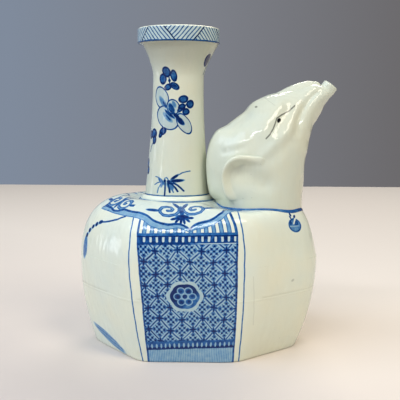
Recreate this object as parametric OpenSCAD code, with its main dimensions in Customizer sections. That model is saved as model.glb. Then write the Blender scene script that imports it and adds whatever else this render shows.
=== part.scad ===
// Kendi in the form of a kneeling elephant, in luted porcelain pieces.
// The origin is on the table under the neck's axis, the head looks along +X and +Z is up.

/* [Body] */
// Height of the flat seat of the neck above the table
body_height = 92.5; // [80:0.5:110]
// Height at which the body is widest
widest_z = 58; // [48:1:66]
// Width of the body over the two side panels, at its widest
body_width = 114; // [100:1:130]
// Distance from the neck's axis back to the flat of the rump, at its widest
tail_reach = 65; // [57:0.5:74]
// Distance from the front of the head's foot to the breast, at its widest
breast_step = 9.5; // [7:0.5:14]
// Length of each side panel along the table
panel_length = 57; // [46:1:66]
// Distance of the middle of each side panel in front of the neck's axis
panel_x = 8.5; // [2:0.5:16]
// Angle between the body's axis and the normal of a front corner face
front_face_angle = 49; // [42:1:56]
// Angle between the body's axis and the normal of a rear corner face
rear_face_angle = 37; // [30:1:44]
// Swelling of the side panels from the table to the widest height
panel_swell = 6; // [3:0.5:10]
// Swelling of the front corner faces
front_swell = 10; // [5:0.5:14]
// Swelling of the rear corner faces
rear_swell = 9; // [4:0.5:12]
// Swelling of the rump
tail_swell = 11; // [6:0.5:14]
// Swelling of the breast
breast_swell = 13; // [8:0.5:18]
// Fall of the shoulder from the neck's seat to the head's foot
front_fall = 4.5; // [2:0.5:7]
// Rise of the back behind the neck's seat
rump_rise = 3.3; // [0:0.1:5]
// Thickness of the body wall
body_wall = 5; // [3.5:0.25:7]
// Thickness of the base slab
slab_t = 6; // [4:0.5:9]
// Width of the wall's foot round the base slab
foot_w = 3; // [2:0.25:3.5]

/* [Luting line] */
// Height of the joint between the two body halves
seam_z = 38; // [26:1:46]
// Height of the tongue of the joint
lap_h = 4; // [2:0.5:7]
// Depth of the groove that the slip fills
slip_depth = 0.8; // [0.4:0.1:1.2]
// Height of the slip proud of the wall
slip_proud = 0.25; // [0.1:0.05:0.6]

/* [Neck] */
// Outer radius of the neck at its foot
neck_foot_r = 21; // [17:0.25:24]
// Outer radius of the neck at its waist
neck_waist_r = 16.1; // [14:0.1:18]
// Height of the neck from its seat to the mouth band
neck_h = 98; // [80:1:115]
// Height of the flare under the mouth band
flare_h = 20; // [12:0.5:26]
// Radius of the channel through the neck
neck_bore_r = 11.5; // [8:0.25:12.5]
// Width of the ledge by which the neck sits on the shoulder
neck_ledge = 1; // [0.6:0.1:2]
// Height of the spigot below the body wall
spigot_drop = 2; // [1:0.5:5]
// Width of the raised collar round the neck's foot
collar_w = 2.6; // [2:0.2:5]
// Height of the raised collar
collar_h = 3.2; // [2:0.2:5]

/* [Mouth] */
// Outer radius of the mouth band
rim_r = 25.9; // [22:0.1:30]
// Height of the mouth band
rim_h = 9.5; // [7:0.25:13]
// Overhang of the mouth band over the flare
rim_step = 1.8; // [1:0.1:3]
// Thickness of the mouth band
rim_wall = 4.6; // [3.6:0.1:6]
// Height of the tongue on which the mouth band sits
rim_lap = 3.5; // [2:0.25:5]

/* [Head] */
// Length of the head's foot along X
head_length = 54.5; // [48:0.5:60]
// Width of the head at the cheeks
head_width = 66; // [56:0.5:74]
// Height from the head's foot to the top of the muzzle
head_rise = 71; // [60:0.5:84]
// Wall of the head
head_wall = 4.5; // [3:0.25:6]
// Height of the head's first section over the neck's seat
foot_rise = 2.5; // [2.2:0.1:4]
// Depth of the head's upright foot below its first section
head_plug = 15; // [13:0.5:18]
// Height of the two domes of the crown
dome_rise = 3.2; // [0:0.1:4]
// Width of the slip coil round the head's foot
coil_w = 1.6; // [1:0.1:2.4]
// Gap between the coil and the neck's collar
nape_gap = 0.6; // [0.4:0.1:3]

/* [Ears] */
// Height of the ear's rolled rim over the head
ear_rim_h = 3.6; // [2:0.1:5]
// Thickness of the ear inside its rim
ear_dish_h = 1; // [0.6:0.1:1.6]

/* [Muzzle] */
// Outer radius of the muzzle's end
muzzle_r = 4.9; // [4.5:0.1:6]
// Tilt of the spout from upright towards the front
spout_tilt = 36; // [30:1:42]
// Radius of the pouring bore
spout_bore_r = 2.3; // [1.8:0.1:2.6]
// Radius of the nozzle inside the muzzle
nozzle_r = 3.5; // [3.2:0.05:3.8]
// Length of the nozzle inside the muzzle
nozzle_l = 4.5; // [3:0.25:5]
// Length of the lip outside the muzzle
lip_l = 4; // [2:0.25:7]
// Height of the trunk over the muzzle
trunk_h = 2.6; // [1.5:0.1:4]

/* [Hidden] */
$fn = 96;
glaze = "#e9ece2";
biscuit = "#d9c8ae";
// Slip joint between faces that meet
joint_gap = 0.1;
// Gap under applied pieces, which keeps their facets clear of the surface below
seat_gap = 0.15;
body_sides = 80;
head_sides = 18;
crown = 1;
seat_blend = 14;
base_sharpness = 26;
shoulder_sharpness = 16;

collar_r = neck_foot_r + collar_w;
neck_hole_r = neck_foot_r - neck_ledge;
rim_z = body_height + neck_h;
head_x = collar_r + nape_gap + coil_w + head_length / 2;
head_z = body_height + foot_rise;
breast_x = head_x + head_length / 2 + breast_step;
body_x = (breast_x - tail_reach) / 2;
half_length = (breast_x + tail_reach) / 2;
dome_h = body_height + crown - widest_z;
foot_y = body_width / 2 - panel_swell;
front_corner = [panel_x + panel_length / 2 - body_x, foot_y];
rear_corner = [body_x - panel_x + panel_length / 2, foot_y];

function mix(a, b, t) = a + (b - a) * t;
function smooth(t) = let (u = min(1, max(0, t))) u * u * (3 - 2 * u);
function sum(v) = v * [for (i = v) 1];
function along(c, angle) = c * [cos(angle), sin(angle)];

// Plan of the body: the normal, the reach at the table and the swelling of each face
faces = [
    [0, half_length - breast_swell, breast_swell],
    [180, half_length - tail_swell, tail_swell],
    each [for (side = [-1, 1]) each [
        [side * 90, foot_y, panel_swell],
        [side * front_face_angle, along(front_corner, front_face_angle), front_swell],
        [180 - side * rear_face_angle, along(rear_corner, rear_face_angle), rear_swell]]]];

// Radius of the body about its own middle, in direction a and at height z
function body_r(a, z) =
    let (up = min(1, z / widest_z),
         swell = 1 - (1 - up) * (1 - up),
         m = mix(base_sharpness, shoulder_sharpness, up))
    pow(sum([for (f = faces) pow(max(0, cos(a - f[0])) / (f[1] + f[2] * swell), m)]), -1 / m);

// Shape of the shoulder in direction a: its fall and the two powers of its curve
breast_shape = [0, 12, 1];
beside_shape = [front_fall, 20, 0.5];
flank_shape = [0, 3.5, 0.3];
back_shape = [-rump_rise, 5.6, 0.5];
function shoulder_shape(a) =
    let (t = abs(a) / front_face_angle)
    t < 1 ? mix(breast_shape, beside_shape, smooth(t))
          : t < 2 ? mix(beside_shape, flank_shape, smooth(t - 1)) : mix(flank_shape, back_shape, smooth(t - 2));

// Height of the shoulder over a point of the plan; inset gives the inside of the wall
function shoulder_z(x, y, inset = 0) =
    let (a = atan2(y, x - body_x),
         t = min(1, norm([x - body_x, y]) / (body_r(a, widest_z) - inset)),
         shape = shoulder_shape(a),
         dome = widest_z + (dome_h - inset - shape[0]) * pow(1 - pow(t, shape[1]), shape[2]))
    mix(body_height - inset, dome, smooth((norm([x, y]) - collar_r) / seat_blend));

// Rings of points round the body
function turn(i) = 360 * i / body_sides;
function wall_ring(z, inset, z_shape = undef) =
    [for (i = [0:body_sides - 1])
        let (r = body_r(turn(i), is_undef(z_shape) ? z : z_shape) - inset)
        [body_x + r * cos(turn(i)), r * sin(turn(i)), z]];
function shoulder_ring(t, inset) =
    [for (i = [0:body_sides - 1])
        let (r = t * (body_r(turn(i), widest_z) - inset),
             x = body_x + r * cos(turn(i)),
             y = r * sin(turn(i)))
        [x, y, shoulder_z(x, y, inset)]];
function neck_ring(r, z) = [for (i = [0:body_sides - 1]) [r * cos(turn(i)), r * sin(turn(i)), z]];
function between(inner, outer, t, inset) =
    [for (i = [0:body_sides - 1])
        let (p = mix(outer[i], inner[i], t))
        [p[0], p[1], shoulder_z(p[0], p[1], inset)]];

// Shoulder from its widest ring up to the flat seat round the neck
shoulder_steps = [1, 0.9985, 0.988, 0.967, 0.935, 0.9, 0.86, 0.81, 0.76];
seat_steps = [for (i = [1:8]) i / 9];
function shoulder(inset, seat_r) =
    let (last = shoulder_ring(shoulder_steps[len(shoulder_steps) - 1], inset),
         seat = neck_ring(seat_r, body_height - inset))
    [each [for (t = shoulder_steps) shoulder_ring(t, inset)],
     each [for (t = seat_steps) between(seat, last, t, inset)],
     seat];

function backwards(v) = [for (i = [len(v) - 1:-1:0]) v[i]];

// Solid skinned over rings with as many points each; closed joins the last ring to the first
module loft(rings, closed = false) {
    n = len(rings[0]);
    rows = len(rings);
    top = (rows - 1) * n;
    skin = [for (i = [0:rows - (closed ? 1 : 2)], j = [0:n - 1])
        let (a = i * n, b = (i + 1) % rows * n, k = (j + 1) % n)
        each [[a + j, b + j, b + k], [a + j, b + k, a + k]]];
    ends = closed ? [] : [for (j = [0:n / 2 - 2])
        let (k = n - 1 - j)
        each [[j, j + 1, k - 1], [j, k - 1, k],
              [top + k - 1, top + j + 1, top + j], [top + k, top + k - 1, top + j]]];
    polyhedron([for (r = rings) each r], concat(skin, ends), convexity = 10);
}

// Flat slab under the body, let into the foot of the wall
module base_slab() color(biscuit)
    linear_extrude(slab_t)
        polygon([for (p = wall_ring(0, foot_w + joint_gap)) [p[0], p[1]]]);

// Lower half of the body: a rebate for the slab below, a tongue for the upper half above
wall_steps = [0, 0.1, 0.25, 0.45, 0.7];
tongue_z = seam_z + lap_h;
module lower_body() color(glaze)
    loft([
        each [for (t = wall_steps) wall_ring(t * (seam_z - slip_depth), 0)],
        wall_ring(seam_z - slip_depth, 0),
        wall_ring(seam_z, slip_depth),
        wall_ring(seam_z, body_wall / 2),
        wall_ring(tongue_z, body_wall / 2),
        wall_ring(tongue_z, body_wall),
        wall_ring(mix(slab_t, tongue_z, 0.5), body_wall),
        wall_ring(slab_t, body_wall),
        wall_ring(slab_t, foot_w, 0),
        wall_ring(0, foot_w)], closed = true);

// Upper half of the body with the neck hole and the socket of the head
module upper_body() color(glaze)
    difference() {
        loft([
            wall_ring(seam_z, slip_depth),
            wall_ring(seam_z + slip_depth, 0),
            wall_ring(mix(seam_z, widest_z, 0.5), 0),
            each shoulder(0, collar_r),
            neck_ring(neck_hole_r, body_height),
            each backwards(shoulder(body_wall, neck_hole_r)),
            wall_ring(tongue_z, body_wall),
            wall_ring(tongue_z, body_wall / 2 - joint_gap),
            wall_ring(seam_z, body_wall / 2 - joint_gap)], closed = true);
        translate([0, 0, head_z - head_plug])
            linear_extrude(head_plug * 2)
                polygon(foot_outline(joint_gap));
    }

// Slip in the groove between the two halves, a little proud of the wall
module seam_slip() color(glaze)
    loft([
        wall_ring(seam_z, slip_depth),
        wall_ring(seam_z - slip_depth, 0),
        wall_ring(seam_z - slip_depth / 2, -slip_proud),
        wall_ring(seam_z + slip_depth / 2, -slip_proud),
        wall_ring(seam_z + slip_depth, 0)], closed = true);

// Outer radius of the neck at height h over its seat
flare_r = rim_r - rim_step;
waist_h = neck_h - flare_h;
flare_power = 1.4;
function neck_r(h) =
    h < waist_h
        ? mix(neck_foot_r, neck_waist_r, sin(90 * h / waist_h))
        : mix(neck_waist_r, flare_r, pow((h - waist_h) / flare_h, flare_power));

// Thrown neck: a spigot through the shoulder, a straight channel and a flared mouth with a tongue
neck_steps = 12;
flare_steps = 8;
spigot_r = neck_hole_r * cos(180 / body_sides) - joint_gap;
tongue_r = rim_r - rim_wall / 2;
mouth_r = rim_r - rim_wall;
module neck() color(glaze)
    translate([0, 0, body_height])
        rotate_extrude()
            polygon([
                [neck_bore_r, -body_wall - spigot_drop],
                [spigot_r, -body_wall - spigot_drop],
                [spigot_r, 0],
                each [for (i = [0:neck_steps]) let (h = waist_h * i / neck_steps) [neck_r(h), h]],
                each [for (i = [1:flare_steps]) let (h = waist_h + flare_h * i / flare_steps) [neck_r(h), h]],
                [tongue_r - joint_gap, neck_h],
                [tongue_r - joint_gap, neck_h + rim_lap],
                [mouth_r, neck_h + rim_lap],
                each [for (i = [flare_steps:-1:0])
                    let (t = i / flare_steps)
                    [mix(neck_bore_r, mouth_r, pow(t, flare_power)), waist_h + flare_h * t]]]);

// Raised ring round the neck's foot
module neck_collar() color(glaze)
    translate([0, 0, body_height])
        rotate_extrude()
            polygon([
                [neck_foot_r + joint_gap, 0],
                [collar_r, 0],
                [collar_r - collar_w * 0.18, collar_h * 0.4],
                [collar_r - collar_w * 0.55, collar_h * 0.75],
                [neck_foot_r + joint_gap, collar_h]]);

// Upright band at the mouth, sitting over the neck's tongue
rim_round = 1.2;
module mouth_rim() color(glaze)
    translate([0, 0, rim_z])
        rotate_extrude()
            polygon([
                [tongue_r, 0],
                [rim_r, 0],
                each [for (a = [0:15:90])
                    [rim_r - rim_round, rim_h - rim_round] + rim_round * [cos(a), sin(a)]],
                each [for (a = [90:15:180])
                    [mouth_r + rim_round, rim_h - rim_round] + rim_round * [cos(a), sin(a)]],
                [mouth_r, rim_lap],
                [tongue_r, rim_lap]]);

// Head: sections from the foot to the muzzle. Each gives the point on the nape and crown, the point on
// the breast and throat, and the half width, as shares of the head's length, rise and width
sections = [
    [-0.500, 0.000, 0.500, 0.000, 0.490],
    [-0.585, 0.139, 0.513, 0.111, 0.500],
    [-0.602, 0.270, 0.526, 0.235, 0.500],
    [-0.580, 0.416, 0.542, 0.374, 0.478],
    [-0.504, 0.554, 0.566, 0.506, 0.436],
    [-0.368, 0.658, 0.605, 0.616, 0.376],
    [-0.221, 0.752, 0.647, 0.693, 0.316],
    [-0.074, 0.839, 0.689, 0.753, 0.262],
    [ 0.082, 0.895, 0.729, 0.803, 0.214],
    [ 0.247, 0.931, 0.766, 0.842, 0.172],
    [ 0.412, 0.967, 0.797, 0.873, 0.136],
    [ 0.568, 1.000, 0.825, 0.896, 0.104]];
muzzle_share = [0.772, 0.952];
muzzle_at = [head_x + muzzle_share[0] * head_length, head_z + muzzle_share[1] * head_rise];
spout_dir = [sin(spout_tilt), cos(spout_tilt)];
across = [cos(spout_tilt), -sin(spout_tilt)];
last_section = len(sections);

// One section in millimetres: crown point, throat point and half width
function section(i) =
    i >= last_section
        ? [muzzle_at - muzzle_r * across, muzzle_at + muzzle_r * across, muzzle_r]
        : let (f = sections[i])
          [[head_x + f[0] * head_length, head_z + f[1] * head_rise],
           [head_x + f[2] * head_length, head_z + f[3] * head_rise],
           f[4] * head_width];

// Smooth curve through four values in a row
function spline(a, b, c, d, t) =
    b + t / 2 * (c - a + t * (2 * a - 5 * b + 4 * c - d + t * (3 * (b - c) + d - a)));
function section_at(s) =
    let (i = min(last_section - 1, max(0, floor(s))),
         q = [for (k = [-1:2]) section(min(last_section, max(0, i + k)))])
    [for (k = [0:2]) spline(q[0][k], q[1][k], q[2][k], q[3][k], s - i)];

// Point on the head: s runs along the sections, a from the crown (0) round to the throat (180).
// Below the first section the wall is upright. out moves the point out along the section
full_round = 1;
flat_nape = 0.55;
dome_angle = 27;
dome_spread = 15;
function rounded(v, power) = sign(v) * pow(abs(v), power);
function nape_power(s, a) = cos(a) < 0 ? full_round : mix(flat_nape, full_round, smooth((s - 5) / 3));
function crown_dome(s, a) =
    let (off = (abs(a > 180 ? a - 360 : a) - dome_angle) / dome_spread)
    dome_rise * smooth(s) * smooth((8.5 - s) / 3) * exp(-off * off);
function head_point(s, a, out = 0) =
    let (q = section_at(max(0, s)),
         middle = (q[0] + q[1]) / 2,
         half = norm(q[0] - q[1]) / 2,
         dir = (q[0] - q[1]) / half / 2,
         reach = (half + out) * rounded(cos(a), nape_power(s, a)) + crown_dome(s, a),
         p = middle + dir * reach)
    [p[0], (q[2] + out) * rounded(sin(a), full_round), p[1] + min(0, s) * head_plug];

// Inside of the head: the wall's thickness in from the skin, drawn to the nozzle at the muzzle
function head_inside(s, a) =
    let (q = section_at(max(0, s)),
         middle = (q[0] + q[1]) / 2,
         half = norm(q[0] - q[1]) / 2,
         dir = (q[0] - q[1]) / half / 2,
         square = [-dir[1], dir[0]],
         back = ((muzzle_at - middle) * square) / (spout_dir * square),
         axis = muzzle_at - back * spout_dir,
         drawn = smooth((s - 8) / 2),
         hole = nozzle_r + joint_gap,
         p = mix(middle, axis, drawn) + dir * mix(half - head_wall, hole, drawn) * cos(a))
    [p[0], mix(q[2] - head_wall, hole, drawn) * sin(a), p[1] + min(0, s) * head_plug];

// Outline of the head's foot, for the socket in the shoulder
function foot_outline(out) =
    [for (i = [0:2 * head_sides - 1])
        let (p = head_point(0, 180 * i / head_sides, out))
        [p[0], p[1]]];

section_step = 0.5;
module head_half()
    loft([for (s = [each [last_section:-section_step:0], -1])
        [each [for (i = [0:head_sides]) head_point(s, 180 * i / head_sides)],
         each [for (i = [head_sides:-1:0]) head_inside(s, 180 * i / head_sides)]]]);

module head_left() color(glaze) head_half();
module head_right() color(glaze) mirror([0, 1, 0]) head_half();

// Coil of slip in the corner between the head's foot and the shoulder
coil_sides = 2 * head_sides;
function coil_corner(i, out, up) =
    let (p = head_point(0, 360 * i / coil_sides, joint_gap + out))
    [p[0], p[1], shoulder_z(p[0], p[1]) + seat_gap + up];
module head_coil() color(glaze)
    loft([for (i = [0:coil_sides - 1])
        [coil_corner(i, coil_w, 0), coil_corner(i, coil_w * 0.6, coil_w * 0.6),
         coil_corner(i, 0, coil_w), coil_corner(i, 0, 0)]], closed = true);

// Ring of a piece that is pressed on to the head's skin: middle and half size count sections and degrees,
// share shrinks the ring towards the middle, and heights lift each of its points off the skin
patch_sides = 32;
function patch_ring(middle, half, share, heights) =
    [for (i = [0:patch_sides - 1])
        let (a = 360 * i / patch_sides)
        head_point(middle[0] + half[0] * share * sin(a), middle[1] + half[1] * share * cos(a), heights[i])];
function even(h) = [for (i = [0:patch_sides - 1]) h];

// Ear: a dish with a rolled rim that is open towards the cheek
ear_middle = [1.4, 80];
ear_half = [1.5, 26];
ear_shares = [0.05, 0.35, 0.6, 0.75, 0.86, 0.95, 1];
ear_rolls = [0, 0, 0.25, 0.8, 1, 0.7, 0.15];
function ear_open(a) = mix(1, 0.12, smooth((cos(a) + 0.1) / 0.9));
function ear_heights(roll) =
    [for (i = [0:patch_sides - 1])
        seat_gap + mix(ear_dish_h * mix(1, 0.6, roll), ear_rim_h, roll * ear_open(360 * i / patch_sides))];
module ear()
    loft([
        each [for (i = [0:len(ear_shares) - 1])
            patch_ring(ear_middle, ear_half, ear_shares[i], ear_heights(ear_rolls[i]))],
        each [for (share = backwards(ear_shares)) patch_ring(ear_middle, ear_half, share, even(seat_gap))]]);

module left_ear() color(glaze) ear();
module right_ear() color(glaze) mirror([0, 1, 0]) ear();

// Trunk: a roll along the top of the muzzle
trunk_middle = [10.2, 0];
trunk_half = [1.75, 42];
trunk_shares = [0.05, 0.3, 0.55, 0.75, 0.9, 1];
module trunk() color(glaze)
    loft([
        each [for (share = trunk_shares)
            patch_ring(trunk_middle, trunk_half, share, even(seat_gap + trunk_h * sqrt(1.02 - share * share)))],
        each [for (share = backwards(trunk_shares))
            patch_ring(trunk_middle, trunk_half, share, even(seat_gap))]]);

// Pouring nozzle set into the muzzle, with its lip outside
lip_round = 0.9;
module spout() color(glaze)
    translate([muzzle_at[0], 0, muzzle_at[1]])
        rotate([0, spout_tilt, 0])
            rotate_extrude()
                polygon([
                    [spout_bore_r, -nozzle_l],
                    [nozzle_r, -nozzle_l],
                    [nozzle_r, 0],
                    [muzzle_r, 0],
                    each [for (a = [0:15:90])
                        [muzzle_r - lip_round, lip_l - lip_round] + lip_round * [cos(a), sin(a)]],
                    [spout_bore_r, lip_l]]);

base_slab();
lower_body();
upper_body();
seam_slip();
neck();
neck_collar();
mouth_rim();
head_left();
head_right();
head_coil();
trunk();
spout();
left_ear();
right_ear();
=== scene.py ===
# Elephant kendi of blue and white porcelain, made piece by piece as a potter puts it together:
# foot slab, two body shells, luting seam, neck, mouth, head with its ears and trunk, and spout lip.
# Lengths are in millimetres until a mesh is made.
from functools import partial
from math import pi, radians

import bmesh
import bpy
import numpy as np
from mathutils import Matrix, Vector


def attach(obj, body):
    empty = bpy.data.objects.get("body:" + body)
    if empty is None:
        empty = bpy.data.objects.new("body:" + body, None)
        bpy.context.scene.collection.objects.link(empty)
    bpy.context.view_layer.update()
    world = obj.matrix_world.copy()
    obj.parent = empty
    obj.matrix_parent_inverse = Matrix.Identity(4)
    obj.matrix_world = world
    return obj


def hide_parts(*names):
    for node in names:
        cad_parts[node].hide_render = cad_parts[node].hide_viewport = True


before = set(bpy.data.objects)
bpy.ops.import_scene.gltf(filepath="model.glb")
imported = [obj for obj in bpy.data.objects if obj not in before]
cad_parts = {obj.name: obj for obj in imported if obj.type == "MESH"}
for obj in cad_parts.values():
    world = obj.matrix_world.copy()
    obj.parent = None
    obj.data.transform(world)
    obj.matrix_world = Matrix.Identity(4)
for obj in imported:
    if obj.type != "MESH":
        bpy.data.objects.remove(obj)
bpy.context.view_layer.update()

# Foot slab
# A flat slab of unglazed porcelain, let into the foot of the wall and left bare so that it doesn't
# stick in the kiln. It is seen only from below.
MM = 0.001
slab_t = 6
foot_w = 3
slab_gap = 0.1
body_sides = 480
widest_z = 58
body_height = 92.5
panel_half_width = 57
panel_corner_rear = -20
panel_corner_front = 37
tail_reach = 65
breast_reach = 89.8
body_x = (breast_reach - tail_reach) / 2
half_length = (breast_reach + tail_reach) / 2
front_angle = 49
rear_angle = 37
panel_swell = 6
front_swell = 10
rear_swell = 9
tail_swell = 11
breast_swell = 13
corner_power_foot = 26
corner_power_widest = 16
sharp_angle = radians(42)


def mix(a, b, t):
    return a + (b - a) * t


def smooth(t):
    u = np.clip(t, 0, 1)
    return u * u * (3 - 2 * u)


def reach(corner_x, angle):
    """Distance from the body's middle to a face through a corner of the side panel, at the table."""
    return abs(corner_x - body_x) * np.cos(angle) + (panel_half_width - panel_swell) * np.sin(angle)


# Each face of the eight-sided body: the turn of its normal, its reach at the table and its swelling
faces = [(0, half_length - breast_swell, breast_swell), (pi, half_length - tail_swell, tail_swell)]
for side in (-1, 1):
    front, rear = radians(front_angle), radians(rear_angle)
    faces.append((side * pi / 2, panel_half_width - panel_swell, panel_swell))
    faces.append((side * front, reach(panel_corner_front, front), front_swell))
    faces.append((pi - side * rear, reach(panel_corner_rear, rear), rear_swell))


def body_r(a, z):
    """Radius of the body about its middle: crisp corners at the table, rounder ones at the widest line."""
    up = np.minimum(1, z / widest_z)
    swell = 1 - (1 - up) ** 2
    power = mix(corner_power_foot, corner_power_widest, up)
    total = sum((np.maximum(0, np.cos(a - turn)) / (foot + bulge * swell)) ** power
                for turn, foot, bulge in faces)
    return total ** (-1 / power)


def unevenness(a, z):
    """Small rise and fall of a wall that was pressed by hand."""
    return 0.2 * np.sin(3 * a + z / 17) + 0.13 * np.sin(5 * a - z / 11 + 1) + 0.08 * np.sin(9 * a + z / 6)


def around(count):
    """Even turns round a ring."""
    return np.linspace(0, 2 * pi, count, endpoint=False)


turns = around(body_sides)


def wall_ring(z, inset=0):
    r = body_r(turns, z) + unevenness(turns, z) - inset
    return np.stack([body_x + r * np.cos(turns), r * np.sin(turns), np.full(body_sides, z)], 1)


def show(name, data):
    """Puts a mesh, a lamp or a camera in the scene as an object."""
    shown = bpy.data.objects.new(name, data)
    bpy.context.scene.collection.objects.link(shown)
    return shown


def skin(name, rings, closed=False):
    """Piece skinned over rings of points; closed joins the last ring to the first."""
    rings = np.asarray(rings, float)
    rows, count = rings.shape[:2]
    grid = np.arange(rows * count).reshape(rows, count)
    ends = [] if closed else [grid[0, ::-1].tolist(), grid[-1].tolist()]
    if closed:
        grid = np.vstack([grid, grid[:1]])
    low, high = grid[:-1], grid[1:]
    quads = np.stack([low, np.roll(low, -1, 1), np.roll(high, -1, 1), high], -1)
    mesh = bpy.data.meshes.new(name)
    mesh.from_pydata(rings.reshape(-1, 3) * MM, [], quads.reshape(-1, 4).tolist() + ends)
    tidy = bmesh.new()
    tidy.from_mesh(mesh)
    bmesh.ops.recalc_face_normals(tidy, faces=tidy.faces)
    tidy.to_mesh(mesh)
    tidy.free()
    mesh.shade_smooth()
    mesh.set_sharp_from_angle(angle=sharp_angle)
    return show(name, mesh)


def seat(piece, node, material):
    """Puts a finished piece in the place of its solid."""
    piece.data.materials.append(material)
    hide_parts(node)
    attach(piece, "root")


def linear(hex_colour):
    """Linear colour of an sRGB hex value."""
    parts = [int(hex_colour[i:i + 2], 16) / 255 for i in (1, 3, 5)]
    return [p / 12.92 if p <= 0.04045 else ((p + 0.055) / 1.055) ** 2.4 for p in parts] + [1]


maths = {"+": "ADD", "-": "SUBTRACT", "*": "MULTIPLY", "/": "DIVIDE", "*+": "MULTIPLY_ADD",
         "max": "MAXIMUM", "min": "MINIMUM", "abs": "ABSOLUTE"}


def add(tree, kind, *inputs, stops=(), points=(), **settings):
    """Adds a node, fills or links its inputs in order and gives its first output. A kind in signs or
    capitals is an operation of the maths node. A setting with the name of an input fills or links it."""
    operation = maths.get(kind, kind if kind.isupper() else None)
    node = tree.nodes.new("ShaderNodeMath" if operation else "ShaderNode" + kind)
    if operation:
        node.operation = operation
    named = [(node.inputs[name], settings.pop(name)) for name in list(settings) if name in node.inputs]
    for name, value in settings.items():
        setattr(node, name, value)
    for socket, value in [*zip([s for s in node.inputs if s.enabled], inputs), *named]:
        if isinstance(value, bpy.types.NodeSocket):
            tree.links.new(value, socket)
        else:
            socket.default_value = value
    for i, (at, colour) in enumerate(stops):
        element = node.color_ramp.elements[i] if i < 2 else node.color_ramp.elements.new(at)
        element.position = at
        element.color = linear(colour)
    for i, (at, value, handle) in enumerate(points):
        curve = node.mapping.curves[0]
        point = curve.points[i] if i < 2 else curve.points.new(at, value)
        point.location = (at, value)
        point.handle_type = handle
    if points:
        node.mapping.update()
    return next((s for s in node.outputs if s.enabled), None)


def new_tree(name):
    material = bpy.data.materials.new(name)
    material.use_nodes = True
    material.node_tree.nodes.clear()
    return material, material.node_tree


def biscuit():
    """Unglazed porcelain, wiped and fired on sand: matt, warm and a little gritty, with rusty flushes."""
    flush_mm = 22
    grit_mm = 0.7
    material, tree = new_tree("unglazed_biscuit")
    n = partial(add, tree)
    place = n("VectorMath", n("TexCoord").node.outputs["Object"], (1 / MM,) * 3, operation="MULTIPLY")
    flush = n("TexNoise", place, 1 / flush_mm, 4)
    grit = n("TexNoise", place, 1 / grit_mm, 2)
    colour = n("ValToRGB", flush, stops=((0.3, "#d9cdb8"), (0.72, "#c9a782"), (0.55, "#d4c2a6")))
    colour = n("Mix", n("MapRange", grit, 0.66, 0.74, 0, 0.5), colour, linear("#8d6f52"), data_type="RGBA")
    bump = n("Bump", 0.5, 0.2 * MM, 1, grit)
    n("OutputMaterial", n("BsdfPrincipled", colour, Roughness=0.85, Normal=bump))
    return material


slab_round = 0.4


def slab_ring(z, inset):
    ring = wall_ring(0, foot_w + slab_gap + inset)
    ring[:, 2] = z
    return ring


slab_edges = ((0, slab_round), (slab_round, 0), (slab_t - slab_round, 0), (slab_t, slab_round))
slab_rings = [slab_ring(z, inset) for z, inset in slab_edges]
seat(skin("foot_slab", slab_rings), "base_slab", biscuit())

# Body shells
# Two hand-pressed shells of white porcelain, luted edge to edge a third of the way up. The painter
# laid a saddle cloth over the back in cobalt, with a lobed collar round the neck and a strap to the tail,
# and the glaze went over it all.
seam_z = 38
lap_h = 4
slip_depth = 0.8
body_wall = 5
foot_round = 0.7
neck_foot_r = 21
collar_w = 2.6
collar_r = neck_foot_r + collar_w
neck_hole_r = 20
seat_blend = 14
crown_h = body_height + 1 - widest_z
shoulder_shapes = ((0, 12, 1), (4.5, 20, 0.5), (0, 3.5, 0.3), (-3.3, 5.6, 0.5))
edge_share = 0.24
joint_gap = 0.1


def shoulder_z(x, y, inset=0):
    """Height of the shoulder. Its fall and two powers differ at the breast, beside the head, on the flanks
    and on the back, which rises behind the neck."""
    a = np.arctan2(y, x - body_x)
    t = np.minimum(1, np.hypot(x - body_x, y) / (body_r(a, widest_z) - inset))
    turn = np.abs(a) / radians(front_angle)
    shape = np.array(shoulder_shapes[0], float)
    for step, following in enumerate(shoulder_shapes[1:]):
        shape = mix(shape, np.array(following), smooth(turn - step)[..., None])
    fall, round_power, drop_power = np.moveaxis(shape, -1, 0)
    dome = widest_z + (crown_h - inset - fall) * (1 - t ** round_power) ** drop_power
    return mix(body_height - inset, dome, smooth((np.hypot(x, y) - collar_r) / seat_blend))


def shoulder_rings(inset, seat_r, edge_rows, seat_rows):
    """Rings from the widest line over the shoulder's edge and in to the flat seat round the neck."""
    r = body_r(turns, widest_z) + unevenness(turns, widest_z) * (inset == 0) - inset
    rings = []
    for t in 1 - edge_share * np.linspace(0, 1, edge_rows) ** 3:
        x, y = body_x + t * r * np.cos(turns), t * r * np.sin(turns)
        rings.append(np.stack([x, y, shoulder_z(x, y, inset)], 1))
    outer = rings[-1]
    for t in np.linspace(0, 1, seat_rows + 1)[1:]:
        x = mix(outer[:, 0], seat_r * np.cos(turns), t)
        y = mix(outer[:, 1], seat_r * np.sin(turns), t)
        rings.append(np.stack([x, y, shoulder_z(x, y, inset)], 1))
    return rings


lower_rings = [wall_ring(0, foot_round)]
lower_rings += [wall_ring(z, foot_round * (1 - z / foot_round) ** 2) for z in (0.2, 0.45)]
lower_rings += [wall_ring(z) for z in np.linspace(foot_round, seam_z - slip_depth, 30)]
lower_rings += [wall_ring(seam_z, slip_depth), wall_ring(seam_z, body_wall / 2)]
lower_rings += [wall_ring(seam_z + lap_h, body_wall / 2)]
lower_rings += [wall_ring(z, body_wall) for z in np.linspace(seam_z + lap_h, slab_t, 10)]
lower_rings += [wall_ring(slab_t, foot_w), wall_ring(0, foot_w)]
lower_shell = skin("lower_shell", lower_rings, closed=True)

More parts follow.
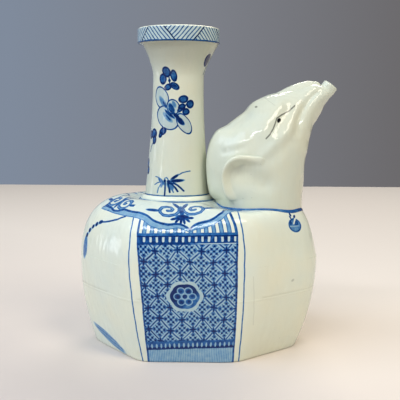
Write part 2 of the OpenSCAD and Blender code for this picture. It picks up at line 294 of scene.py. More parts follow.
upper_rings = [wall_ring(seam_z, slip_depth)]
upper_rings += [wall_ring(z) for z in np.linspace(seam_z + slip_depth, widest_z, 14)[:-1]]
upper_rings += shoulder_rings(0, collar_r, 60, 24)
hole_ring = np.stack([neck_hole_r * np.cos(turns), neck_hole_r * np.sin(turns), 0 * turns], 1)
upper_rings += [hole_ring + [0, 0, body_height]]
upper_rings += shoulder_rings(body_wall, neck_hole_r, 24, 10)[::-1]
upper_rings += [wall_ring(seam_z + lap_h, body_wall), wall_ring(seam_z + lap_h, body_wall / 2 - joint_gap)]
upper_rings += [wall_ring(seam_z, body_wall / 2 - joint_gap)]
upper_shell = skin("upper_shell", upper_rings, closed=True)

slip_proud = 0.1
slip_rings = [wall_ring(seam_z, slip_depth)]
slip_rings += [wall_ring(seam_z + slip_depth * t, -slip_proud * (1 - t * t)) for t in np.linspace(-1, 1, 7)]
luting_seam = skin("luting_seam", slip_rings, closed=True)


# Tones of the glaze, each from dark to light: plain, and a darker copy that is painted shade on the neck and
# head
plain_glaze = ("#e0e8da", "#e5e9d6", "#e9e9d1")
shaded_glaze = ("#d1d9cb", "#d6dac7", "#dadac2")


def glazed(name, paint, tones=plain_glaze):
    """Clear, slightly green glaze over white porcelain, glossy as wet stone. paint gives how thickly the
    cobalt lies, from 0 to 1, and how much black: iron black in the drawn marks, and painted shade in a few
    places. Cobalt pools and thins under the brush, and its lines sway with the hand. The glaze has a faint
    orange peel and fine runs down the pot, and a few specks of iron burned through it."""
    tone_mm = 34
    brush_mm = 2.4
    grain_mm = 0.55
    peel_mm = 8
    run_mm = 3.8
    run_share = 1.3
    peel_depth = 0.25
    speck_mm = 9
    sway_mm = 8
    sway = 0.4
    material, tree = new_tree(name)
    n = partial(add, tree)
    place = n("VectorMath", n("TexCoord").node.outputs["Object"], (1 / MM,) * 3, operation="MULTIPLY")
    hand = n("TexNoise", place, 1 / sway_mm, 1).node.outputs["Color"]
    drawn = n("VectorMath", hand, (2 * sway,) * 3, (-sway,) * 3, operation="MULTIPLY_ADD")
    x = n("SeparateXYZ", n("VectorMath", place, drawn))
    ink, black = paint(n, x, x.node.outputs["Y"], x.node.outputs["Z"])
    tone = n("TexNoise", place, 1 / tone_mm, 3)
    glaze = n("ValToRGB", tone, stops=((0.3, tones[0]), (0.75, tones[2]), (0.5, tones[1])))
    flow = n("TexNoise", place, 1 / brush_mm, 3)
    grain = n("TexNoise", place, 1 / grain_mm, 2)
    uneven = n("+", n("*+", flow, 1.1, 0.34), n("*", grain, 0.3))
    laid = n("*", ink, uneven, use_clamp=True)
    cobalt = n("ValToRGB", laid, stops=((0, "#ffffff"), (1, "#042872"), (0.14, "#bbd6f4"),
                                        (0.34, "#76a9e4"), (0.62, "#2b6dc2"), (0.82, "#0f479a")))
    colour = n("Mix", 1, glaze, cobalt, data_type="RGBA", blend_type="MULTIPLY")
    speck = n("MapRange", n("TexVoronoi", place, 1 / speck_mm), 0.012, 0.03, 0.7, 0)
    colour = n("Mix", speck, colour, linear("#7d6a52"), data_type="RGBA")
    colour = n("Mix", black, colour, linear("#101114"), data_type="RGBA")
    runs = n("TexNoise", n("VectorMath", place, (1, 1, 0.35), operation="MULTIPLY"), 1 / run_mm, 1)
    peel = n("*+", runs, run_share, n("TexNoise", place, 1 / peel_mm, 2))
    bump = n("Bump", 1, peel_depth * MM, 1, peel)
    gloss = n("*+", tone, 0.05, 0.06)
    # The IOR is a little under the usual 1.5, so that the cobalt keeps its depth
    n("OutputMaterial", n("BsdfPrincipled", colour, IOR=1.4, Roughness=gloss, Normal=bump))
    return material


def brushed(n, distance, half, density=1, edge=0.15):
    """Ink of a stroke: its density within half its width, and a soft edge."""
    return n("MapRange", distance, half - edge, half + edge, density, 0, interpolation_type="SMOOTHSTEP")


def past(n, value, limit):
    """1 where a value is beyond a limit."""
    return brushed(n, n("*", value, -1), -limit)


def apart(n, value, at):
    return n("abs", n("-", value, at))


def between(n, value, low, high, edge=0.12):
    return brushed(n, apart(n, value, (low + high) / 2), (high - low) / 2, 1, edge)


def repeat(n, value, period):
    """Distance from the middle of the nearest of a row of like marks."""
    return n("*", apart(n, n("FRACT", n("/", value, period)), 0.5), period)


def radius(n, x, y):
    return n("VectorMath", n("CombineXYZ", x, y), operation="LENGTH")


def dab(n, spot, x, y, turn, long, wide):
    """Leaf-shaped touch of the brush: 0 in its middle, 1 at its edge."""
    moved = n("Mapping", spot, (x, y, 0), (0, 0, radians(turn)), (long, wide, 1), vector_type="TEXTURE")
    return n("VectorMath", moved, operation="LENGTH")


def touches(n, spot, marks):
    """Nearest of several dabs."""
    nearest = dab(n, spot, *marks[0])
    for mark in marks[1:]:
        nearest = n("min", nearest, dab(n, spot, *mark))
    return nearest


def trail(n, spot, route):
    """Distance in millimetres from a line drawn through the points of a route."""
    nearest = None
    for (ax, ay), (bx, by) in zip(route, route[1:]):
        half = np.hypot(bx - ax, by - ay) / 2
        turn = np.arctan2(by - ay, bx - ax)
        moved = n("Mapping", spot, ((ax + bx) / 2, (ay + by) / 2, 0), (0, 0, turn), vector_type="TEXTURE")
        off = n("VectorMath", moved, operation="ABSOLUTE")
        off = n("VectorMath", off, (half, 0, 0), operation="SUBTRACT")
        off = n("VectorMath", off, (0, 0, 0), operation="MAXIMUM")
        away = n("VectorMath", off, operation="LENGTH")
        nearest = away if nearest is None else n("min", nearest, away)
    return nearest


def wave(n, across, z, across_turn, z_turn, height):
    """Slow rise and fall of a hand-drawn line."""
    turn = n("+", n("*", across, across_turn), n("*", z, z_turn))
    return n("*", n("SINE", turn), height)


def diaper(n, across, z):
    """Slanting lattice of the cloth, a little out of true: a pair of light rules along each cell edge, dark
    crosslets where the edges meet, and a cluster of dark dots and light dashes in each cell."""
    cell = 9.6
    crosslet_across, crosslet_z = 1.4, 61.6
    wander = 0.55
    slant = 0.5 ** 0.5
    rule_out, rule_half, rule_l = 0.82, 0.4, 3.1
    right = n("+", n("-", across, crosslet_across), wave(n, across, z, 0.13, 0.21, wander))
    up = n("+", n("-", z, crosslet_z), wave(n, across, z, 0.23, -0.11, wander))
    a = repeat(n, n("*", n("+", right, up), slant), cell)
    b = repeat(n, n("*", n("-", right, up), slant), cell)
    far, near = n("max", a, b), n("min", a, b)
    from_edge = n("-", cell / 2, far)
    rules = n("min", brushed(n, apart(n, from_edge, rule_out), rule_half), brushed(n, near, rule_l))
    ink = n("Mix", rules, 0.54, 0.17)
    ink = n("Mix", n("min", brushed(n, from_edge, 0.3), brushed(n, near, rule_l)), ink, 0.8)
    spot = n("CombineXYZ", n("*", n("+", far, near), slant), n("*", n("-", far, near), slant))
    dashes = touches(n, spot, [(1.6, 0, 0, 0.75, 0.6), (2.6, 1.5, 45, 0.9, 0.5)])
    ink = n("Mix", brushed(n, dashes, 1, 1, 0.3), ink, 0.2)
    dots = touches(n, spot, [(0, 0, 0, 0.6, 0.6), (1.5, 1.5, 0, 0.62, 0.62), (3.1, 0, 0, 0.62, 0.62)])
    ink = n("Mix", brushed(n, dots, 1, 1, 0.3), ink, 1)
    crosslet = dab(n, spot, cell * slant, 0, 0, 2.3, 0.55)
    return n("Mix", brushed(n, crosslet, 1, 1, 0.15), ink, 1)


def medallion(n, across, z, ink):
    """Flower in the middle of the cloth: a pale lobed ring, a dark lobed disc that pales to its lower right,
    and six petals round an eye."""
    middle_across, middle_z = -2.6, 41.3
    broad = 1.16
    ring_r, disc_r, petal_out, petal_r, eye_r = 8.5, 7.2, 3.75, 1.95, 1.6
    ring_lobe, disc_lobe, outline = 1.2, 0.45, 0.3
    right = n("/", n("-", across, middle_across), broad)
    rise = n("-", z, middle_z)
    r = radius(n, right, rise)
    sixth = n("*+", n("ARCTAN2", rise, right), 3 / pi, 0.5)
    bend = n("*", n("-", n("FRACT", sixth), 0.5), pi / 3)
    lobe = n("COSINE", n("*", bend, 3))
    ink = n("Mix", brushed(n, n("*+", lobe, -ring_lobe, r), ring_r), ink, 0.13)
    disc = n("*+", n("MapRange", n("-", rise, right), -7, 3, 0, 1), 0.42, 0.62)
    ink = n("Mix", brushed(n, n("*+", lobe, -disc_lobe, r), disc_r), ink, disc)
    petal = radius(n, n("*+", r, n("COSINE", bend), -petal_out), n("*", r, n("SINE", bend)))
    light = n("max", brushed(n, apart(n, petal, petal_r), outline), brushed(n, apart(n, r, eye_r), outline))
    ink = n("Mix", brushed(n, petal, petal_r), ink, n("MapRange", petal, 0.3, 1.7, 0.95, 0.6))
    return n("Mix", light, ink, 0.24)


def saddle_cloth(n, x, z):
    """Cloth on each flank, from the shoulder to the foot: stripes, a band of white bars, the lattice with
    its flower, a toothed hem and a fringe, with a thin line on either side. It narrows over the shoulder."""
    half_width = 29
    bar_step, stripe_step, tooth_step, thread_step = 3.72, 4.45, 2.95, 1.15
    fringe_top, hem_line, hem_top = 8.9, 10.6, 14.2
    bars_low, bars_top, band_line, band_top = 71.8, 76.2, 76.9, 78.4
    taper_from, lean_from = 76, 64
    fall = n("-", 1, n("min", n("/", z, widest_z), 1))
    swell = n("-", 1, n("*", fall, fall))
    over = n("max", n("-", z, taper_from), 0)
    taper = n("*", over, over)
    rear = n("+", n("*+", n("min", z, 70), -0.0875, -15.2), n("*", taper, 0.011))
    front = n("+", n("*+", swell, 1.8, 35.6), n("*", taper, -0.022))
    middle = n("*", n("+", rear, front), 0.5)
    share = n("/", n("-", x, middle), n("-", front, rear))
    across = n("*", share, 2 * half_width)
    inside = n("-", half_width, n("abs", across))
    # The ink is a little deeper towards the rear edge of the cloth
    deeper_to_rear = n("MapRange", across, -half_width, -8, 1.18, 1)
    ink = n("*", medallion(n, across, z, diaper(n, across, z)), deeper_to_rear)
    hem_z, top_z = n("*+", across, -0.035, z), n("*+", across, -0.02, z)
    tooth = dab(n, n("CombineXYZ", repeat(n, across, tooth_step), hem_z), 0, 11.3, 0, 0.62, 1.5)
    ground = n("Mix", between(n, hem_z, fringe_top, hem_line, 0.3), 0.7, 1)
    hem = n("Mix", brushed(n, tooth, 1, 1, 0.25), ground, 0.2)
    ink = n("Mix", between(n, hem_z, fringe_top, hem_top, 0.4), ink, hem)
    threads = n("*+", n("COSINE", n("*", across, 2 * pi / thread_step)), 0.09, 0.27)
    ink = n("Mix", brushed(n, hem_z, fringe_top), ink, threads)
    bar = radius(n, repeat(n, n("+", across, 0.66), bar_step), n("max", n("-", 73.9, top_z), 0))
    bars = n("Mix", brushed(n, bar, 0.7), 0.82, 0.08)
    ink = n("Mix", between(n, top_z, bars_low, bars_top), ink, bars)
    # A thin pale line under the bars towards the front is a painted highlight
    cloth_highlight_line = n("*", between(n, top_z, 71.9, 72.5), n("MapRange", across, 0, 8, 0, 1))
    ink = n("Mix", cloth_highlight_line, ink, 0.1)
    band = n("Mix", between(n, top_z, bars_top, band_line), 0.62, 1)
    ink = n("Mix", between(n, top_z, bars_top, band_top), ink, band)
    stripe = repeat(n, n("+", across, 0.35), stripe_step)
    stripes = n("max", brushed(n, stripe, 1.2, 0.34), brushed(n, apart(n, stripe, 1), 0.28, 0.66))
    ink = n("Mix", brushed(n, top_z, band_top), stripes, ink)
    ink = n("max", ink, brushed(n, apart(n, inside, 0.6), 0.6, 0.7))
    above = n("max", n("-", z, lean_from), 0)
    lean = n("*", above, above)
    bow = n("-", swell, n("*", fall, 0.98))
    rear_line = n("*+", lean, 0.004, n("*+", bow, -4.05, -21.9))
    front_line = n("*+", lean, -0.0056, n("*+", swell, 2.6, 38.6))
    lines = n("min", apart(n, x, rear_line), apart(n, x, front_line))
    return n("max", n("*", ink, past(n, inside, 0)), brushed(n, lines, 0.36, 0.62))


def collar_scrolls(n, sideways, down, bud_share):
    """Ornament of one lobe of the collar, drawn for half of it and mirrored: a scroll with a leaf at its
    back and one at its root, and a lotus bud hanging between the pair."""
    spot = n("CombineXYZ", sideways, down)
    scroll = trail(n, spot, [(1, 24.6), (1.6, 27.6), (3.6, 29.9), (7.7, 31.2), (11, 30.9), (12.7, 29.2),
                             (12.7, 27), (11.2, 24.9), (8.4, 23.7), (6, 23.9), (5, 25.6), (6.1, 27.1),
                             (8.2, 27.3)])
    leaves = touches(n, spot, [(16.6, 28.1, 5, 4, 1.1), (2.6, 21.6, -60, 3.6, 1.2), (0, 27, 90, 4.8, 1.5)])
    bud = touches(n, spot, [(0, 32.2, 0, 3.9, 2.1), (4.6, 33.2, 15, 2.2, 0.85), (3, 34.3, 50, 2, 0.75),
                            (0.9, 34.9, 80, 1.9, 0.75)])
    curl = n("Mix", brushed(n, scroll, 0.35, 1, 0.3), brushed(n, scroll, 0.98, 0.74, 0.3), 0.4)
    marks = n("max", curl, brushed(n, leaves, 1, 0.72, 0.25))
    return n("max", marks, n("*", brushed(n, bud, 1, 0.9, 0.25), bud_share))


# Outlines of the collar, by degrees round the neck from the head: how far out and down each lies from the
# neck's axis. The first is the dark line, the second the end of the pale band round it. They come to a
# point at some turns and run smoothly through the others.
collar_points = (80.2, 116, 132, 164.5, 180)
collar_line = ((0, 46), (180, 52), (50, 51.5), (61, 59.3), (66, 62.4), (75, 63), (78, 64.3), (80.2, 66.8),
               (82.5, 63.7), (88, 60.7), (94, 61.2), (103, 58.7), (109.5, 54.1), (116, 51.8), (124, 50.8),
               (132, 48.6), (143, 51), (153, 49.3), (162, 50.2), (164.5, 53.5))
collar_band = ((0, 50), (180, 54), (55, 60), (64, 66.2), (72, 67.9), (77, 67.3), (80.2, 68.4), (87, 64.7),
               (95, 65.4), (101, 65.2), (106, 63.2), (111, 59.4), (118, 57.1), (126, 55.8), (134, 54.2),
               (151, 53.1), (164.5, 54))


def collar_edge(n, turn, out, outline):
    """Distance in from an outline of the collar."""
    span = 80
    points = [(at / 180, far / span, "VECTOR" if at in collar_points else "AUTO") for at, far in outline]
    return n("-", n("*", n("FloatCurve", 1, turn, points=points), span), out)


def trappings(n, x, flank, z):
    """Strap that runs back over the rump to a knotted cord and a tassel, and the tail below."""
    rear = radians(rear_angle)
    spot = n("CombineXYZ", n("+", n("*", x, np.sin(rear)), n("*", flank, np.cos(rear))), z)
    strap = trail(n, spot, [(14.6, 85.9), (7.6, 83.3), (0.9, 81.5), (-4, 80.6), (-9.1, 80)])
    cord = trail(n, spot, [(-9.1, 80), (-17.6, 76), (-23.4, 69)])
    knots = touches(n, spot, [(-9.3, 79.9, 15, 2.2, 1.1), (-13.4, 78.1, 27, 1.5, 1.3),
                              (-17, 76.3, 32, 1.5, 1.2), (-20.4, 73.6, 45, 1.5, 1.3),
                              (-22.9, 70.2, 65, 1.6, 1.4)])
    tassel = dab(n, spot, -24, 62.6, 84, 7, 3.3)
    tail = dab(n, spot, -4.5, 7.2, -18, 17.5, 2.8)
    streaks = n("*+", n("COSINE", n("*", n("+", z, n("*", x, 0.3)), 3.1)), 0.1, 0.42)
    marks = n("max", brushed(n, strap, 0.5, 0.72), brushed(n, knots, 1, 1, 0.25))
    marks = n("max", marks, brushed(n, cord, 0.9, 0.22, 0.3))
    marks = n("max", marks, brushed(n, tassel, 1, 0.5, 0.2))
    return n("max", marks, n("*", streaks, brushed(n, tail, 1, 1, 0.2)))


def breast_bell(n, x, flank, z):
    """Bell that hangs from the neck cord by a knotted loop."""
    front = radians(front_angle)
    spot = n("CombineXYZ", n("-", n("*", flank, np.cos(front)), n("*", x, np.sin(front))), z)
    bell = dab(n, spot, -36.6, 79.5, 8, 6.1, 4.1)
    wash = n("Mix", brushed(n, bell, 0.84, 1, 0.08), 0.8, 0.44)
    ink = n("*", brushed(n, bell, 1, 1, 0.08), wash)
    dark = touches(n, spot, [(-38, 80.7, 0, 2.6, 1.6), (-32.9, 81.3, 0, 1.4, 1.7)])
    ink = n("max", ink, brushed(n, dark, 1, 0.75, 0.3))
    slit = trail(n, spot, [(-31.8, 79.3), (-40.2, 78.8)])
    ink = n("Mix", brushed(n, slit, 0.32), ink, 0.22)
    # A pale streak left bare of cobalt on the bell is a painted highlight
    bell_highlight = trail(n, spot, [(-39.6, 84.4), (-37, 82.3), (-35.8, 80.8)])
    ink = n("Mix", brushed(n, bell_highlight, 0.6), ink, 0)
    loop = touches(n, spot, [(-34.8, 87.6, 0, 1.1, 1), (-34.9, 85.8, 0, 0.9, 1),
                             (-33.9, 84.3, 60, 1.1, 0.6), (-38.1, 84.5, -30, 1.3, 0.7)])
    return n("max", ink, brushed(n, loop, 1, 0.92, 0.25))


def body_paint(n, x, y, z):
    """Everything that is painted on the two shells. About ten strokes more made them render black, with no
    error, so the painting stays at this many."""
    collar_tip = 164.5
    rump_from = 125
    flank_axis, rump_axis = radians(84.4), radians(148)
    neck_line_r = 24.4
    strap_front, bell_rear = -24, 55
    flank = n("abs", y)
    r = radius(n, x, y)
    out = n("+", r, n("-", body_height, z))
    turn = n("/", n("ARCTAN2", flank, x), pi)
    in_line, in_band = (collar_edge(n, turn, out, outline) for outline in (collar_line, collar_band))
    at_rump = n("GREATER_THAN", turn, rump_from / 180)
    axis = n("Mix", at_rump, flank_axis, rump_axis)
    lobe_scale = n("Mix", at_rump, 1, 0.92)
    off_axis = n("abs", n("*", r, n("SINE", n("-", n("*", turn, pi), axis))))
    down = n("*", n("/", out, lobe_scale), 0.6)
    scrolls = collar_scrolls(n, n("/", off_axis, lobe_scale), down, n("-", 1, at_rump))
    before_tip = brushed(n, turn, collar_tip / 180, 1, 0.003)
    cloth = n("*", saddle_cloth(n, x, z), past(n, flank, 28))
    ink = n("Mix", past(n, in_band, 0), cloth, n("*", before_tip, 0.27))
    ink = n("Mix", past(n, in_line, 0), ink, n("max", scrolls, 0.035))
    edges = n("max", brushed(n, n("abs", in_line), 1.15, 0.76, 0.35),
              brushed(n, n("abs", in_band), 0.45, 0.55, 0.25))
    ink = n("max", ink, n("*", edges, before_tip))
    back_line = trail(n, n("CombineXYZ", x, flank), [(-45.5, 13.8), (-41.2, 13.8), (-38.3, 12.2),
                                                     (-34.9, 8.6), (-31.5, 2.3), (-31, 0)])
    ink = n("max", ink, brushed(n, back_line, 0.65, 0.8, 0.25))
    ink = n("max", ink, brushed(n, apart(n, r, neck_line_r), 0.5, 0.5))
    ink = n("max", ink, n("*", trappings(n, x, flank, z), brushed(n, x, strap_front)))
    ink = n("max", ink, n("*", breast_bell(n, x, flank, z), past(n, x, bell_rear)))
    side = n("CombineXYZ", x, z)
    # A faint grey line down the right facet is painted shade of a crease; the speck is a kiln speck
    crease_shade = brushed(n, trail(n, side, [(46.7, 52.6), (47.1, 38.7), (47.1, 22.9)]), 0.3, 0.12, 0.25)
    speck = brushed(n, dab(n, side, 71.9, 46.6, 30, 1, 0.7), 1, 0.3, 0.4)
    return ink, n("*", n("max", crease_shade, speck), n("LESS_THAN", y, 0))


painted_body = glazed("painted_body_porcelain", body_paint)
seat(lower_shell, "lower_body", painted_body)
seat(upper_shell, "upper_body", painted_body)
seat(luting_seam, "seam_slip", painted_body)

# Neck
# Thrown on the wheel in one piece, drawn in to a waist and opened to a flared mouth, with a spigot below
# that goes through the shoulder. A spray of flowers and a tuft of grass are painted on both sides.
neck_sides = 256
neck_waist_r = 16.1
neck_h = 98
flare_h = 20
neck_bore_r = 11.5
spigot_drop = 2
neck_lean = 0.55
flare_lean = 1.15
rim_r = 25.9
rim_step = 1.8
rim_wall = 4.6
rim_lap = 3.5
rim_h = 9.5
rim_z = body_height + neck_h
mouth_r = rim_r - rim_wall
tongue_r = rim_r - rim_wall / 2


def revolve(name, profile, count=neck_sides):
    """Piece turned about the upright axis of the neck. A third value of a point moves its ring along X."""
    a = around(count)
    rings = [np.stack([r * np.cos(a) + sum(aside), r * np.sin(a), np.full(count, z)], 1)
             for r, z, *aside in profile]
    return skin(name, rings, closed=True)


def neck_profile():
    """Outside of the neck, which leans a little towards the head, and the channel through it."""
    waist_h = neck_h - flare_h
    rise = np.linspace(0, 1, 90)
    shaft = mix(neck_foot_r, neck_waist_r, np.sin(pi / 2 * rise))
    flare = np.linspace(0, 1, 30)
    lip = mix(neck_waist_r, rim_r - rim_step, flare ** 1.4)
    points = [(neck_bore_r, -body_wall - spigot_drop), (neck_hole_r - joint_gap, -body_wall - spigot_drop)]
    points += [(neck_hole_r - joint_gap, 0)]
    points += list(zip(shaft, waist_h * rise, neck_lean * rise ** 2))
    points += list(zip(lip, waist_h + flare_h * flare, neck_lean + flare_lean * flare))[1:]
    points += [(tongue_r - joint_gap, neck_h + h, neck_lean) for h in (0, rim_lap)]
    points += [(mouth_r, neck_h + rim_lap, neck_lean)]
    funnel = flare[::-1]
    points += [(mix(neck_bore_r, mouth_r, t ** 1.4), waist_h + flare_h * t, neck_lean) for t in funnel]
    points += [(neck_bore_r, waist_h * t, neck_lean * t ** 2) for t in np.linspace(1, 0, 20)[1:]]
    return [(r, body_height + h, *aside) for r, h, *aside in points]


def neck_paint(n, x, y, z):
    """Flower spray, sprigs and grass on one side of the pot, and again on the other. Under the mouth band
    the flare is greyed with painted shade."""
    paint_r = 17
    foot_line_z = 96
    flare_from = 172
    mid_wall_r = 14
    painted_shade_span = 166, 184
    round_neck = n("/", n("ARCTAN2", x, n("*", y, -1)), pi)
    half_turn = n("-", n("FRACT", n("+", round_neck, 0.5)), 0.5)
    spot = n("CombineXYZ", n("*", half_turn, pi * paint_r), z)
    petals = ((-11.1, 156.8, 121, 7, 5.1), (-6.4, 144.3, -39, 8.5, 6.1), (4.8, 140.7, -57, 6.9, 3.7),
              (-2.3, 151, 120, 4.5, 3.9))
    bud = (20.4, 180.2, 92, 3.3, 2.5)
    leaves = ((-6.9, 172.4, 120, 2.9, 2.4), (-9.9, 168.1, 100, 2.8, 2.4), (-1.9, 170, 100, 3.1, 1.9),
              (-6, 163.1, 15, 2, 1.5), (-1.3, 163.6, -28, 2.8, 1.6), (4.4, 155.8, 10, 2.6, 1.9),
              (9, 152.8, 30, 2.2, 2), (3.3, 151, 35, 2, 1.5), (2, 149.2, 40, 1.4, 0.9),
              (6, 148.2, 10, 1.9, 1.7), (-8.9, 135.9, 40, 2.3, 1.8), (-10.6, 133.7, 60, 1.3, 0.9),
              (-16.8, 134.4, 90, 2.7, 2.6), (-16, 130.5, 85, 2.2, 1.6), (-21.2, 133.6, 90, 2.2, 1.8),
              (-22.7, 115.5, 90, 2.5, 1.6), (-21.4, 111.2, 90, 2.1, 1.6), bud)
    ink = 0
    for marks, wash, line, edge in ((petals, 0.08, 0.8, 0.4), (leaves, 0.66, 1, 0.6)):
        for mark in marks:
            size = (mark[3] + mark[4]) / 2
            inside = dab(n, spot, *mark)
            ink = n("Mix", brushed(n, inside, 1, 1, 0.08), ink, wash)
            ink = n("max", ink, brushed(n, n("abs", n("*+", inside, size, -size)), edge, line))
    washes = ((-9.8, 154, 130, 4.4, 1.7), (-5.8, 144.6, -42, 4.4, 1.6), (-1.6, 152.6, 120, 2.2, 1.2))
    strokes = ((-8.3, 152.4, 125, 2.6, 0.9), (-4.6, 146.6, -38, 4.4, 0.9), (-2.8, 148, -40, 3.6, 0.8),
               (-3.4, 150.4, 120, 3, 1.7), (-5.2, 144.4, -45, 2.6, 0.6))
    heart = ((2.4, 142.4, -44, 3.3, 1.5), (-0.2, 145.5, -42, 2.6, 1.1), (-5, 167, 0, 0.9, 1),
             (-1.6, 163.6, -28, 2.2, 1.1), bud)
    grass_wash = ((-3.2, 102.4, -65, 2.8, 1.7), (-8.4, 105, -50, 2.8, 1.1), (-8, 102.8, 80, 1.8, 0.7))
    tufts = ((0.2, 105.5, 5, 3.9, 1), (-0.9, 107.8, 38, 2.7, 0.8), (-3, 103.9, -20, 1.6, 0.8),
             (-6.2, 105.2, 90, 1.1, 0.7), (-4.1, 105.2, 0, 1, 0.7))
    for marks, strength, edge in ((washes, 0.42, 0.4), (strokes, 0.84, 0.3), (heart, 1, 0.25),
                                  (grass_wash, 0.55, 0.3), (tufts, 1, 0.3)):
        ink = n("max", ink, brushed(n, touches(n, spot, marks), 1, strength, edge))
    stems = ([(-5.2, 169), (-4.9, 166), (-4.8, 164)], [(7, 153.6), (5.4, 151.6), (2.6, 149.4)],
             [(-17.2, 129), (-19, 126.5), (-20.2, 123)], [(22.4, 177.5), (23, 175.5), (22.3, 171.5)])
    blades = (([(-6, 95.9), (-6, 105.6)], 0.42, 0.9),
              ([(-4.4, 104.4), (-3.9, 101.4), (-3.3, 98.3)], 0.5, 0.9),
              ([(-3.6, 103.6), (-2.4, 101), (-1.4, 98.3)], 0.32, 0.6),
              ([(-2.8, 103.6), (-0.6, 101.4), (0.8, 98.9)], 0.5, 0.85),
              ([(-1.6, 104.2), (0.6, 102.8), (2.6, 101), (4, 99.3)], 0.5, 0.85),
              ([(0.2, 108.6), (3.2, 110.4), (7.8, 111.4)], 0.32, 0.62),
              ([(-12.4, 107.8), (-10.6, 107.4), (-9, 105.8)], 0.3, 0.6),
              ([(-12.7, 102.6), (-11.1, 103.7), (-9, 104.4)], 0.3, 0.55),
              ([(-10.6, 97.7), (-10, 100.7), (-8.4, 103.2)], 0.32, 0.45),
              ([(-6.3, 106.8), (-5.2, 107.4), (-4.4, 106.2)], 0.3, 0.5))
    drawn = [(route, 0.4, 0.9, 0.15) for route in stems] + [(*blade, 0.2) for blade in blades]
    for route, half, strength, edge in drawn:
        ink = n("max", ink, brushed(n, trail(n, spot, route), half, strength, edge))
    ink = n("max", ink, brushed(n, apart(n, z, foot_line_z), 0.4, 0.52))
    mid_wall = n("*+", n("max", n("-", z, flare_from), 0), 0.44, mid_wall_r)
    # Painted shade: the flare is greyed under the mouth band
    painted_shade_under_mouth = n("MapRange", z, *painted_shade_span, 0, 0.25, interpolation_type="SMOOTHSTEP")
    return n("*", ink, n("GREATER_THAN", radius(n, x, y), mid_wall)), painted_shade_under_mouth


# The neck is glazed in the darker tones, which are painted shade
painted_neck = glazed("painted_neck_porcelain", neck_paint, shaded_glaze)
seat(revolve("thrown_neck", neck_profile()), "neck", painted_neck)

# Neck ring
# A coil of clay thumbed round the foot of the neck to hide its joint with the shoulder. A blue line
# marks its lower edge.
collar_h = 3.2
ring_line_h = 0.5


def ring_paint(n, x, y, z):
    return brushed(n, z, body_height + ring_line_h, 0.55, 0.3), 0


bend = np.linspace(0, 1, 14)
ring_r = collar_r - (collar_w - joint_gap) * bend ** 1.6
ring_z = body_height + collar_h * np.sin(pi / 2 * bend)
ring_profile = [(neck_foot_r + joint_gap, body_height)] + list(zip(ring_r, ring_z))
painted_ring = glazed("painted_ring_porcelain", ring_paint)
seat(revolve("neck_ring", ring_profile), "neck_collar", painted_ring)

# Mouth band
# An upright band luted round the mouth. It is painted with slanting panels, hatched to and fro, and its
# upper edge is wiped white.
rim_round = 1.2
band_bevel = 0.4


def band_paint(n, x, y, z):
    """Slanting borders that lean to and fro, with hatching between them along the border on its right. The
    cobalt here has iron in it and fired greyer."""
    border_step = 18.6
    first_border = -4.2
    border_lean = 0.87
    hatch_step = 2.66
    iron_share = 0.5
    white_edge, lower_line, band_depth = 0.7, 0.4, 2
    round_rim = n("*", n("ARCTAN2", x, n("*", y, -1)), rim_r)
    rise = n("*", n("-", z, rim_z + rim_h / 2), border_lean)
    back, slash = n("+", round_rim, rise), n("-", round_rim, rise)
    pair = 2 * border_step
    past_back = n("FLOORED_MODULO", n("-", back, first_border), pair)
    past_slash = n("FLOORED_MODULO", n("-", slash, first_border + border_step), pair)
    hatch = n("Mix", n("LESS_THAN", past_back, past_slash), repeat(n, back, hatch_step),
              repeat(n, slash, hatch_step))
    ink = n("max", brushed(n, hatch, 0.44, 0.66), 0.1)
    for gone in (past_back, past_slash):
        border = n("min", gone, n("-", pair, gone))
        ink = n("max", ink, brushed(n, border, 0.5, 1))
    ink = n("max", ink, brushed(n, apart(n, z, rim_z + lower_line), 0.5, 0.66))
    below_edge = brushed(n, z, rim_z + rim_h - white_edge)
    ink = n("*", ink, n("*", below_edge, past(n, radius(n, x, y), rim_r - band_depth)))
    return ink, n("*", ink, iron_share)


def rounded_edge(outer, inner, top, round_r):
    """Edge of a tube, from its outside over to its bore."""
    quarter = np.linspace(0, pi / 2, 9)
    run, rise = round_r * np.cos(quarter), round_r * np.sin(quarter)
    middle = top - round_r
    return list(zip(outer - round_r + run, middle + rise)) + list(zip(inner + round_r - rise, middle + run))


band_profile = [(tongue_r, rim_z), (rim_r - band_bevel, rim_z), (rim_r, rim_z + band_bevel)]
band_profile += [(rim_r, rim_z + h) for h in np.linspace(band_bevel, rim_h - rim_round, 6)[1:-1]]
band_profile += rounded_edge(rim_r, mouth_r, rim_z + rim_h, rim_round)
band_profile += [(mouth_r, rim_z + rim_lap), (tongue_r, rim_z + rim_lap)]
painted_band = glazed("painted_band_porcelain", band_paint)
mouth_band = revolve("mouth_band", [(r, z, neck_lean) for r, z in band_profile])
seat(mouth_band, "mouth_rim", painted_band)

# Head
# Two press-moulded halves, joined down the middle and let into a socket in the shoulder. The brow, cheek
# and trunk folds were modelled with the thumb, and only the eyes are painted, in iron black.
head_length = 54.5
head_width = 66
head_rise = 71
head_wall = 4.5
head_plug = 15
foot_rise = 2.5
nape_gap = 0.6
coil_w = 1.6
dome_rise = 3.2
dome_turn = radians(27)
dome_spread = radians(15)
muzzle_r = 4.9
nozzle_r = 3.5
spout_tilt = radians(36)
head_x = collar_r + nape_gap + coil_w + head_length / 2
head_z = body_height + foot_rise
muzzle = np.array([head_x + 0.772 * head_length, head_z + 0.952 * head_rise])
spout_dir = np.array([np.sin(spout_tilt), np.cos(spout_tilt)])
across_muzzle = np.array([np.cos(spout_tilt), -np.sin(spout_tilt)])
